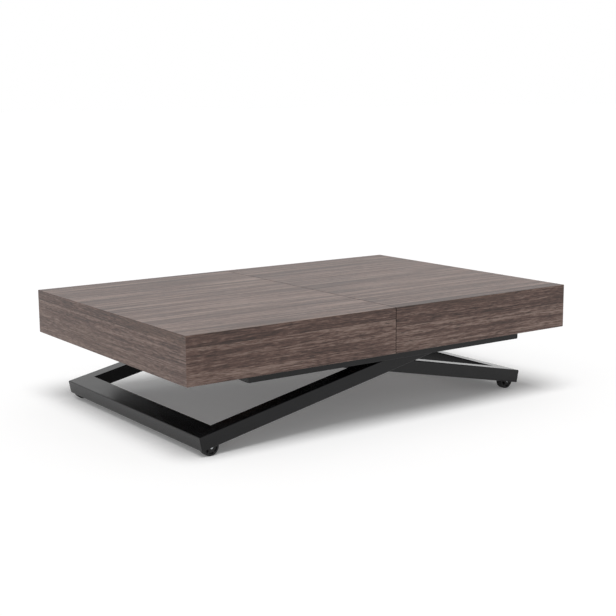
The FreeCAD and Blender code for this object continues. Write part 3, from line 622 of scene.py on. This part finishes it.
@dataclass
class TopHalf(Assembly):
    """One sliding half of the top: a panel and three aprons, mitred, with blocks and slide members.

    The shifts move the print on the panel, the long aprons and the end apron, in metres.
    """

    side: Side
    panel_shift: Triple
    apron_shift: Triple
    end_shift: Triple
    band: float = 0.4 * MM
    band_inset: float = 0.9 * MM
    screw_head: float = 8.0 * MM
    screw_rise: float = 2.2 * MM
    screws_per_slide: int = 4
    screw_margin: float = 30.0 * MM
    slide_wall: float = 2.0 * MM
    block_cut: float = 35.0 * MM
    block_screws: Pair = (0.3, 0.75)
    # The strip in the seam is a painted shade for the dark gap between the halves.
    seal_depth: float = 0.3 * MM
    seal_gap: float = 0.2 * MM
    seal_width: float = 4.5 * MM
    seal_ease: float = 0.2 * MM

    def name(self, piece: str) -> str:
        """Name of a piece of this half."""
        return f"{self.side.label}_{piece}"

    def finish(self) -> list[str]:
        """Dress the half's CAD nodes.

        Returns:
            The nodes dressed.
        """
        panel = OakLaminate(self.name("top_oak_laminate"), Grain.LENGTHWISE, self.panel_shift, figure=1.7)
        long = OakLaminate(self.name("apron_oak_laminate"), Grain.LENGTHWISE, self.apron_shift,
                           plank=0.18, joint=0.3)
        end = OakLaminate(self.name("end_oak_laminate"), Grain.CROSSWISE, self.end_shift,
                          plank=0.16, joint=0.2)
        done = dress(panel, self.name("top_panel"))
        done += dress(long, self.name("front_apron"), self.name("back_apron"))
        done += dress(end, self.name("end_apron"))
        done += dress(BEECH, self.name("corner_blocks"))
        return done + dress(ZINC, self.name("slide_inners"))

    def edge_bands(self) -> list[str]:
        """Lay bands on the lower edges of the aprons, pressed on after the panels were cut. Their paler print
        is partly the band's own colour and partly a painted highlight for the floor's light on the lower
        edge.

        Returns:
            The pieces made.
        """
        made = []
        grains = {"front": Grain.LENGTHWISE, "back": Grain.LENGTHWISE, "end": Grain.CROSSWISE}
        for apron, grain in grains.items():
            low, high = corners(self.name(f"{apron}_apron"))
            low[:2] += self.band_inset
            high[:2] -= self.band_inset
            if apron == "end":
                low[1] = corners(self.name("front_apron"))[1][1] - self.band_inset
                high[1] = -low[1]
            high[2] = low[2]
            low[2] -= self.band
            # Paler colours: the band's own print, together with a painted highlight for the floor's light on
            # the lower edge.
            edge = OakLaminate(self.name(f"{apron}_edge_print"), grain, self.panel_shift,
                               dark="#4a3a33", middle="#6f5d54", pale="#96867b")
            patch = strip(low, high, self.band / 4)
            name = self.name(f"{apron}_edge_band")
            made.append(make_piece(name, patch, self.name("top"), edge))
        return made

    def seam_seal(self) -> list[str]:
        """Fill the seam with a near-black strip, a painted shade for the dark gap, along the left half's
        edges just under the surface.

        Returns:
            The piece made.
        """
        panel_high = corners(self.name("top_panel"))[1]
        front_low = corners(self.name("front_apron"))[0]
        near, far = panel_high[0], -panel_high[0] - self.seal_gap
        top, bottom = panel_high[2] - self.seal_depth, front_low[2] + self.seal_depth
        shoulder = top - self.seal_width
        outer = -front_low[1] - self.seal_depth
        inner = outer - self.seal_width
        spans = (((-outer, shoulder), (outer, top)), ((-outer, bottom), (-inner, shoulder)),
                 ((inner, bottom), (outer, shoulder)))
        # Painted shade: a near-black strip that darkens the seam the way the gap's own shade does.
        bars = [strip(np.array((near, *low)), np.array((far, *high)), self.seal_ease) for low, high in spans]
        return [make_piece("seam_seal", joined(bars), self.name("top"), SEAM_SHADE_BLACK)]

    def screws(self) -> list[str]:
        """Set the screws of the slide members and the corner blocks.

        Returns:
            The piece made.
        """
        head = socket_screw(self.screw_head, self.screw_rise)
        low, high = corners(self.name("slide_inners"))
        stations = np.linspace(low[0] + self.screw_margin, high[0] - self.screw_margin, self.screws_per_slide)
        middle = np.full_like(stations, (low[2] + high[2]) / 2)
        patches = []
        for edge, facing in ((low[1] + self.slide_wall, 1.0), (high[1] - self.slide_wall, -1.0)):
            places = np.stack([stations, np.full_like(stations, edge), middle], axis=1)
            patches.append(head.placed(frames_at(places, (0.0, facing, 0.0))))
        end_low, end_high = corners(self.name("end_apron"))
        inner_x = end_low[0] if self.side is Side.RIGHT else end_high[0]
        inner_y = corners(self.name("front_apron"))[1][1]
        block_low, block_high = corners(self.name("corner_blocks"))
        heights = np.array(self.block_screws) * (block_high[2] - block_low[2]) + block_low[2]
        for sign in (1, -1):
            x = inner_x - self.side.value * self.block_cut / 2
            y = sign * (inner_y + self.block_cut / 2)
            places = np.stack([np.full_like(heights, x), np.full_like(heights, y), heights], axis=1)
            patches.append(head.placed(frames_at(places, (-self.side.value, sign, 0.0))))
        return [make_piece(self.name("top_screws"), joined(patches), self.name("top"), ZINC)]

    def build(self) -> list[str]:
        """Build and dress the half. The left one carries the dowels and the near-black strip of painted shade
        in the seam.

        Returns:
            The pieces made and the nodes dressed.
        """
        done = self.finish() + self.edge_bands() + self.screws()
        if self.side is Side.LEFT:
            done += dress(BEECH, "alignment_dowels") + self.seam_seal()
        return done


@dataclass
class CastorWheel(Assembly):
    """A wheel in a leg frame's corner: a ribbed nylon core and a cast tread."""

    node: str
    tread: float = 3.4 * MM
    shoulder: float = 2.6 * MM
    groove: float = 0.5 * MM
    bore: float = 4.05 * MM
    hub: float = 9.0 * MM
    dish: float = 4.0 * MM
    rim: float = 1.6 * MM
    ease: float = 0.5 * MM
    lip: float = 0.4 * MM
    ribs: int = 6
    rib_width: float = 1.3 * MM
    rib_depth: float = 0.6 * MM

    def core(self, radius: float, half: float) -> Patch:
        """Core as a turned ring whose dished sides rise to six ribs.

        A closed section runs from the bore over hub, dish and rim and back on the other side. In the
        dish its height is the dish's depth times a smooth step of the angle to the nearest rib.

        Args:
            radius: Radius of the core.
            half: Half the wheel's width.

        Returns:
            The core about Z.
        """
        steps = 120
        angle = np.arange(steps) * 2 * np.pi / steps
        from_rib = np.abs((angle * self.ribs / (2 * np.pi) + 0.5) % 1.0 - 0.5) / self.ribs * 2 * np.pi
        inner, outer = self.hub + self.ease, radius - self.rim - self.ease
        hub = np.array([(half, self.bore), (half, self.hub - self.ease), (half - self.ease, self.hub)])
        dish_radii = np.linspace(inner, outer, 6)
        dish = np.stack([np.full_like(dish_radii, half - self.dish), dish_radii], axis=1)
        rim = np.array([(half - self.ease, radius - self.rim),
                        (half - self.lip / 2, radius - self.rim + self.lip), (half - self.lip, radius)])
        upper = np.concatenate([hub, dish, rim])
        depth = (half - upper[:, :1]) * np.ones(steps)
        width = self.rib_width / upper[:, 1:]
        raised = np.clip((2 * width - from_rib) / width, 0.0, 1.0)
        step = raised * raised * (3 - 2 * raised)
        in_dish = depth > self.dish * 0.9
        depth = np.where(in_dish, depth - (self.dish - self.rib_depth) * step, depth)
        heights = np.concatenate([half - depth, (depth - half)[::-1]])
        radii = np.concatenate([upper[:, 1:], upper[::-1, 1:]])
        return lofted(turned(heights, radii, steps), endless=True)

    def tyre(self, radius: float, half: float) -> Patch:
        """Tread as a turned ring: quarter-round shoulders and a flat running face with two fine grooves.

        The face's radius falls by the groove depth where the height is near one third of the half width.

        Args:
            radius: Radius of the wheel.
            half: Half the wheel's width.

        Returns:
            The tread about Z.
        """
        quarter = np.linspace(0.0, np.pi / 2, 6)
        shoulder_height = half - self.shoulder + self.shoulder * np.cos(quarter)
        shoulder_radius = radius - self.shoulder + self.shoulder * np.sin(quarter)
        face = np.linspace(half - self.shoulder, -(half - self.shoulder), 29)[1:-1]
        groove = np.exp(-((np.abs(face) - half / 3) / self.groove) ** 2)
        heights = np.concatenate([[half - self.lip], shoulder_height, face, -shoulder_height[::-1],
                                  [self.lip - half]])
        radii = np.concatenate([[radius - self.tread], shoulder_radius, radius - self.groove * groove,
                                shoulder_radius[::-1], [radius - self.tread]])
        return lofted(turned(heights[:, None], radii[:, None], 96), endless=True)

    def build(self) -> list[str]:
        """Build the wheel in place of its plain solid.

        Returns:
            The pieces made.
        """
        low, high = corners(self.node)
        radius, half = (high[2] - low[2]) / 2, (high[1] - low[1]) / 2
        place = frames_at(((low + high) / 2)[None], (0.0, 1.0, 0.0))
        core = self.core(radius - self.tread, half)
        made = [make_piece(f"{self.node}_core", core.placed(place), self.node, NYLON)]
        tyre = self.tyre(radius, half)
        made.append(make_piece(f"{self.node}_tread", tyre.placed(place), self.node, TREAD))
        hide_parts(self.node)
        return made


@dataclass
class LegFrame(Assembly):
    """One U-shaped frame of rectangular tube, welded at its mitres. Its angle at rest is in degrees."""

    kind: Leg
    half_width: float
    angle: float = 11.63
    corner_reach: float = 491.0 * MM
    tube_width: float = 46.0 * MM
    tube_depth: float = 36.0 * MM
    weld_inset: float = 2.0 * MM
    bolt_radius: float = 6.0 * MM
    bolt_head: float = 20.0 * MM
    bolt_rise: float = 6.0 * MM
    head_inset: float = 0.4 * MM

    def name(self, piece: str) -> str:
        """Name of a piece of this frame."""
        return f"{self.kind.label}_{piece}"

    def finish(self) -> list[str]:
        """Dress the frame's CAD nodes and the axle pins at its foot.

        Returns:
            The nodes dressed.
        """
        coated = map(self.name, ("leg_front", "leg_back", "cross_tube", "wheel_forks"))
        done = dress(POWDER_COAT, *coated)
        done += dress(NYLON, self.name("leg_caps"), self.name("upper_bushes"))
        pins = "left_axle_pins" if self.kind is Leg.OUTER else "right_axle_pins"
        return done + dress(ZINC, self.name("pivot_sleeves"), pins)

    def welds(self) -> list[str]:
        """Lay beads in the inside corners where the legs meet the cross tube.

        Returns:
            The piece made.
        """
        low, high = corners("centre_pivot_bolts")
        centre = (low + high) / 2
        turn = math.radians(self.angle)
        along = np.array((self.kind.value * math.cos(turn), 0.0, math.sin(turn)))
        square = np.array((-self.kind.value * math.sin(turn), 0.0, math.cos(turn)))
        reach = square * (self.tube_depth / 2 - self.weld_inset)
        beads = []
        for sign in (-1, 1):
            side = np.array((0.0, sign * (self.half_width - self.tube_width), 0.0))
            corner = centre - along * self.corner_reach + side
            beads.append(weld(corner - reach, corner + reach))
        name, body = self.name("mitre_welds"), self.name("legs")
        return [make_piece(name, joined(beads), body, POWDER_COAT, flat=60.0)]

    def pivot_bolts(self) -> list[str]:
        """Set bolts with socket heads in the crossing, in place of the plain ones.

        Each shank is a turned bar under a domed head.

        Returns:
            The piece made.
        """
        low, high = corners("centre_pivot_bolts")
        x, z = (low[0] + high[0]) / 2, (low[2] + high[2]) / 2
        seat = abs(corners("inner_leg_front")[1][1]) - self.head_inset
        ends = np.array([[seat - high[1]], [-self.head_inset / 2]])
        shank = lofted(turned(ends, np.full((2, 1), self.bolt_radius), 32))
        bolt = joined([shank, socket_screw(self.bolt_head, self.bolt_rise, 48)])
        patches = [bolt.placed(frames_at(np.array([[x, sign * seat, z]]), (0.0, -sign, 0.0)))
                   for sign in (-1, 1)]
        made = make_piece("crossing_bolts", joined(patches), "outer_legs", ZINC)
        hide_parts("centre_pivot_bolts")
        return [made]

    def build(self) -> list[str]:
        """Build and dress the frame; the outer one carries the bolts of the crossing."""
        done = self.finish() + self.welds()
        return done + self.pivot_bolts() if self.kind is Leg.OUTER else done


@dataclass
class SubFrame(Assembly):
    """Welded frame under the top, with the guides, the slides' fixed members and the stored leaves."""

    plate: float = 3.0 * MM
    bracket: float = 4.0 * MM
    plate_to_rail: float = 5.5 * MM
    plug_rise: float = 2.0 * MM
    plug_depth: float = 8.0 * MM
    plug_wall: float = 2.4 * MM
    flange_inset: float = 0.2 * MM
    face_inset: float = 1.0 * MM
    stitch: float = 30.0 * MM
    stitches: int = 6
    stitch_margin: float = 40.0 * MM
    guide_margin: float = 3.0 * MM
    bracket_margin: float = 2.0 * MM

    def finish(self) -> list[str]:
        """Dress the frame's CAD nodes.

        Returns:
            The nodes dressed.
        """
        done = dress(POWDER_COAT, "side_rails", "end_rails", "centre_rail", "side_plates", "pivot_brackets",
                     "guide_plates", "rod_brackets", "release_bearings", "leaf_bearers")
        done += dress(ZINC, "upper_pivot_shaft", "slide_outers", "left_slide_middles", "right_slide_middles")
        done += dress(CHROME, "gas_rods")
        for leaf, shift in (("lower_leaf", (3.1, 0.4, 0.0)), ("upper_leaf", (5.7, 0.9, 0.0))):
            done += dress(OakLaminate(f"{leaf}_laminate", Grain.CROSSWISE, shift), leaf)
        return done

    def rail_plugs(self) -> list[str]:
        """Put plugs in the side rails' open ends.

        Rounded-rectangle rings, superellipses of power eight, are carried out along X: a narrow plug,
        the flange, and its eased face.

        Returns:
            The piece made.
        """
        low, high = corners("side_rails")
        inner = corners("side_plates")[1][1] - self.plate_to_rail
        half_y, half_z = (high[1] - inner) / 2, (high[2] - low[2]) / 2
        steps = 64
        angle = np.arange(steps) * 2 * np.pi / steps
        wave = np.stack([np.cos(angle), np.sin(angle)])
        ring_y, ring_z = np.sign(wave) * np.abs(wave) ** 0.25
        out = np.array((-self.plug_depth, 0.0, 0.0, self.plug_rise * 0.6, self.plug_rise))[:, None]
        inset = np.array((self.plug_wall, self.plug_wall, self.flange_inset, self.flange_inset,
                          self.face_inset))[:, None]
        rings = (out * np.ones(steps), ring_y * (half_y - inset), ring_z * (half_z - inset))
        plug = lofted(np.stack(rings, axis=-1))
        middle_z = (low[2] + high[2]) / 2
        patches = []
        for end, x in ((1, high[0]), (-1, low[0])):
            for sign in (-1, 1):
                points = plug.points * (end, 1.0, 1.0) + (x, sign * (high[1] - half_y), middle_z)
                patches.append(Patch(points, plug.faces).outward())
        return [make_piece("rail_end_plugs", joined(patches), "sub_frame", NYLON)]

    def welds(self) -> list[str]:
        """Lay beads along the feet of the side plates, guide plates and pivot brackets.

        Returns:
            The piece made.
        """
        top = corners("side_rails")[1][2]
        plate_low, plate_high = corners("side_plates")
        guide_low, guide_high = corners("guide_plates")
        bracket_low, bracket_high = corners("pivot_brackets")
        first = plate_low[0] + self.stitch_margin
        last = plate_high[0] - self.stitch_margin - self.stitch
        starts = np.linspace(first, last, self.stitches)
        lines = [(start, start + self.stitch, plate_high[1] - self.plate) for start in starts]
        guide_start = guide_low[0] + self.guide_margin
        lines.append((guide_start, guide_start + self.stitch, guide_high[1]))
        lines.append((-self.stitch / 2, self.stitch / 2, guide_high[1]))
        lines.append((bracket_low[0] + self.bracket_margin, bracket_high[0] - self.bracket_margin,
                      bracket_high[1] - self.bracket))
        beads = [weld(np.array((x0, sign * y, top)), np.array((x1, sign * y, top)))
                 for sign in (-1, 1) for x0, x1, y in lines]
        patch = joined(beads)
        return [make_piece("sub_frame_welds", patch, "sub_frame", POWDER_COAT, flat=60.0)]

    def build(self) -> list[str]:
        """Build and dress the sub-frame."""
        return self.finish() + self.rail_plugs() + self.welds()


@dataclass
class Carriage(Assembly):
    """Sliding carriage with the gas springs' cylinders and the guide rollers."""

    gland: float = 3.0 * MM
    gland_bore: float = 5.3 * MM
    gland_lip: Pair = (1.2 * MM, 2.0 * MM)
    gland_edge: Pair = (1.5 * MM, 0.6 * MM)
    nut: float = 6.5 * MM
    nut_flat: float = 13.0 * MM
    nut_ease: float = 0.7 * MM
    stud: float = 8.0 * MM
    stud_fit: float = 0.02 * MM

    def finish(self) -> list[str]:
        """Dress the carriage's CAD nodes."""
        done = dress(POWDER_COAT, "push_bars", "push_crossbar", "gas_cylinders")
        return done + dress(ZINC, "carriage_shafts") + dress(NYLON, "guide_roller_front", "guide_roller_back")

    def wiper_ring(self, radius: float) -> Patch:
        """Turn the ring at a cylinder's mouth: a closed section with a raised lip.

        Args:
            radius: Radius of the cylinder.

        Returns:
            The ring about Z.
        """
        lip = self.gland_bore + np.array(self.gland_lip)
        edge = radius - np.array(self.gland_edge)
        radii = np.array((self.gland_bore, self.gland_bore, lip[0], lip[1], edge[0], edge[1], edge[1]))
        heights = self.gland * np.array((0.0, 1.0, 1.0, 0.5, 0.5, 0.2, 0.0))
        return lofted(turned(heights[:, None], radii[:, None], 48), endless=True)

    def lock_nut(self) -> Patch:
        """Make the nut on a cylinder's stud: its radius follows a hexagon with its corners turned down.

        Returns:
            The nut about Z.
        """
        steps = 48
        six = hexagon(steps) * self.nut_flat / 2
        turned_down = np.minimum(six, self.nut_flat * 0.525) * 0.97
        hole = np.full(steps, self.stud / 2 + self.stud_fit)
        radii = np.stack([hole, turned_down, six, six, turned_down, hole])
        heights = np.array((0.0, 0.0, self.nut_ease, self.nut - self.nut_ease, self.nut, self.nut))[:, None]
        return lofted(turned(heights, radii, steps), endless=True)

    def fittings(self) -> list[str]:
        """Put wiper rings at the cylinders' mouths and lock nuts on their studs.

        Returns:
            The pieces made.
        """
        low, high = corners("gas_cylinders")
        radius = (high[2] - low[2]) / 2
        y, z = high[1] - radius, (high[2] + low[2]) / 2
        made = []
        for name, patch, x, slot, finish in (
                ("wiper_rings", self.wiper_ring(radius), low[0], "black_plastic", NYLON),
                ("lock_nuts", self.lock_nut(), high[0], "zinc_steel", ZINC)):
            frames = frames_at(np.array([(x, y, z), (x, -y, z)]), (-1.0, 0.0, 0.0))
            made.append(make_piece(name, patch.placed(frames), "carriage", finish))
        return made

    def build(self) -> list[str]:
        """Build and dress the carriage."""
        return self.finish() + self.fittings()


@dataclass
class Release(Assembly):
    """Release bar with its hand paddle and the pins it pushes."""

    bar_radius: float = 5.0 * MM
    plate: float = 4.0 * MM
    ribs: int = 7
    rib_pitch: float = 8.0 * MM
    rib_rise: float = 1.2 * MM
    rib_root: float = 0.3 * MM
    skin: float = 0.05 * MM
    margin: float = 12.0 * MM

    def grip(self) -> list[str]:
        """Lay a ribbed grip on both faces of the paddle.

        Over the paddle's length the height is a raised cosine of the rib pitch, and over its width
        it fades out towards both edges.

        Returns:
            The piece made.
        """
        low, high = corners("release_paddle")
        middle = corners("release_bar")[0][2] + self.bar_radius
        start = low[0] + self.margin
        along = np.linspace(start, start + self.ribs * self.rib_pitch, 85)
        x, y = np.meshgrid(along, np.linspace(low[1] + self.margin, high[1] - self.margin, 24))
        wave = 0.5 - 0.5 * np.cos((x - start) * 2 * np.pi / self.rib_pitch)
        fade = (1 - np.linspace(-1.0, 1.0, len(y)) ** 8)[:, None]
        rise = self.rib_rise * wave * fade + self.skin
        patches = []
        for sign in (-1, 1):
            seat = middle + sign * self.plate / 2
            crest = np.stack([x, y, seat + sign * rise], axis=-1)
            root = np.stack([x[:, ::-1], y, np.full_like(x, seat - sign * self.rib_root)], axis=-1)
            patches.append(lofted(np.concatenate([crest, root], axis=1)))
        grips = joined(patches)
        return [make_piece("paddle_grips", grips, "release_lever", NYLON, flat=50.0)]

    def build(self) -> list[str]:
        """Build and dress the release."""
        done = dress(ZINC, "release_bar") + dress(CHROME, "release_pins") + dress(NYLON, "release_paddle")
        return done + self.grip()


@dataclass(frozen=True)
class PaleFloor(Finish):
    """Matt studio floor, lit from within to white, that keeps a pale shadow."""

    glow: float = 0.13

    def paint(self, tree: Tree, shader: Node) -> None:
        """Set a matt pale grey whose own glow brings it to white where nothing shades it.

        Args:
            tree: Node tree of the material.
            shader: Its surface shader.
        """
        shader.inputs["Emission Color"].default_value = linear("#ffffff")
        shader.inputs["Emission Strength"].default_value = self.glow
        shader.inputs["Base Color"].default_value = linear("#f7f7f7")
        shader.inputs["Roughness"].default_value = 1.0
        shader.inputs["Specular IOR Level"].default_value = 0.0


@dataclass
class Studio(Assembly):
    """Floor, soft light and the camera at the photograph's place. Angles and spreads are in degrees."""

    floor_reach: float = 60.0
    ambient: float = 0.32
    key_strength: float = 2.02
    key_direction: Triple = (0.2, 0.3, -0.93)
    key_spread: float = 36.0
    fill_strength: float = 0.38
    fill_direction: Triple = (0.85, 0.35, -0.39)
    fill_spread: float = 80.0
    camera_place: Triple = (-1.8966, -2.7090, 0.8274)
    azimuth: float = -35.27
    depression: float = 9.96
    roll: float = -0.4
    lens: float = 70.98
    sensor: float = 36.0
    camera_reach: float = 200.0

    def floor(self) -> None:
        """Lay the floor that the wheels stand on."""
        mesh = bpy.data.meshes.new("studio_floor")
        ends = self.floor_reach * np.array([(-1, -1, 0), (1, -1, 0), (1, 1, 0), (-1, 1, 0)])
        mesh.from_pydata(ends.tolist(), [], [(0, 1, 2, 3)])
        mesh.materials.append(PaleFloor("matt_white_floor").material())
        floor = bpy.data.objects.new("studio_floor", mesh)
        bpy.context.scene.collection.objects.link(floor)

    def room(self) -> None:
        """Light evenly from all round, with a room that is white where it is seen or mirrored."""
        world = bpy.data.worlds.new("pale_room")
        bpy.context.scene.world = world
        world.use_nodes = True
        tree = world.node_tree
        rays = add(tree, "ShaderNodeLightPath").outputs
        seen = rays["Is Camera Ray"]
        for ray in ("Is Glossy Ray", "Is Transmission Ray"):
            seen = add(tree, "ShaderNodeMath", {0: seen, 1: rays[ray]}, operation="MAXIMUM").outputs[0]
        level = add(tree, "ShaderNodeMapRange", {0: seen, 1: 0.0, 2: 1.0, 3: self.ambient, 4: 1.0})
        tree.links.new(level.outputs[0], tree.nodes["Background"].inputs["Strength"])
        tree.nodes["Background"].inputs["Color"].default_value = linear("#ffffff")

    def lamps(self) -> None:
        """Light from a wide soft key overhead and a softer fill at the left."""
        for name, strength, direction, spread in (
                ("soft_key", self.key_strength, self.key_direction, self.key_spread),
                ("soft_fill", self.fill_strength, self.fill_direction, self.fill_spread)):
            lamp = bpy.data.lights.new(name, "SUN")
            lamp.energy = strength
            lamp.angle = math.radians(spread)
            light = bpy.data.objects.new(name, lamp)
            light.visible_glossy = False
            bpy.context.scene.collection.objects.link(light)
            turn = frames_at(np.zeros((1, 3)), tuple(-part for part in direction))[0]
            light.matrix_world = Matrix(turn.tolist())

    def camera(self) -> None:
        """Set the camera by its azimuth from +Y, its tilt down and its roll."""
        side, down, lean = (math.radians(angle) for angle in (self.azimuth, self.depression, self.roll))
        back = np.array((math.sin(side) * math.cos(down), -math.cos(side) * math.cos(down), math.sin(down)))
        right = np.cross((0.0, 0.0, 1.0), back)
        right /= np.linalg.norm(right)
        up = np.cross(back, right)
        matrix = np.eye(4)
        matrix[:3, 0] = math.cos(lean) * right + math.sin(lean) * up
        matrix[:3, 1] = math.cos(lean) * up - math.sin(lean) * right
        matrix[:3, 2] = back
        matrix[:3, 3] = self.camera_place
        data = bpy.data.cameras.new("photo_camera")
        data.lens = self.lens
        data.sensor_width = self.sensor
        data.clip_end = self.camera_reach
        camera = bpy.data.objects.new("photo_camera", data)
        bpy.context.scene.collection.objects.link(camera)
        camera.matrix_world = Matrix(matrix.tolist())
        bpy.context.scene.camera = camera
        bpy.context.scene.view_settings.view_transform = "Standard"

    def build(self) -> list[str]:
        """Build the studio.

        Returns:
            Names of its parts, for the log.
        """
        self.floor()
        self.room()
        self.lamps()
        self.camera()
        return ["studio_floor", "pale_room", "soft_key", "soft_fill", "photo_camera"]


def main() -> None:
    """Build the table's sub-assemblies in order and report each piece."""
    logging.basicConfig(level=logging.INFO, format="%(name)s: %(message)s")
    assemblies: list[Assembly] = [
        Studio(),
        TopHalf(Side.LEFT, panel_shift=(3.5, 0.6195, 0.0), apron_shift=(3.5, 2.6285, 0.0),
                end_shift=(1.4, 3.968, 0.0)),
        TopHalf(Side.RIGHT, panel_shift=(5.1, 0.5445, 0.0), apron_shift=(5.1, 1.8805, 0.0),
                end_shift=(4.6, 1.06, 0.0)),
        LegFrame(Leg.OUTER, half_width=358.0 * MM),
        LegFrame(Leg.INNER, half_width=297.0 * MM),
        CastorWheel("left_wheel_front"),
        CastorWheel("left_wheel_back"),
        CastorWheel("right_wheel_front"),
        CastorWheel("right_wheel_back"),
        SubFrame(),
        Carriage(),
        Release(),
    ]
    for assembly in assemblies:
        for piece in assembly.build():
            LOG.info("%s: %s", type(assembly).__name__, piece)


if __name__ == "__main__":
    main()
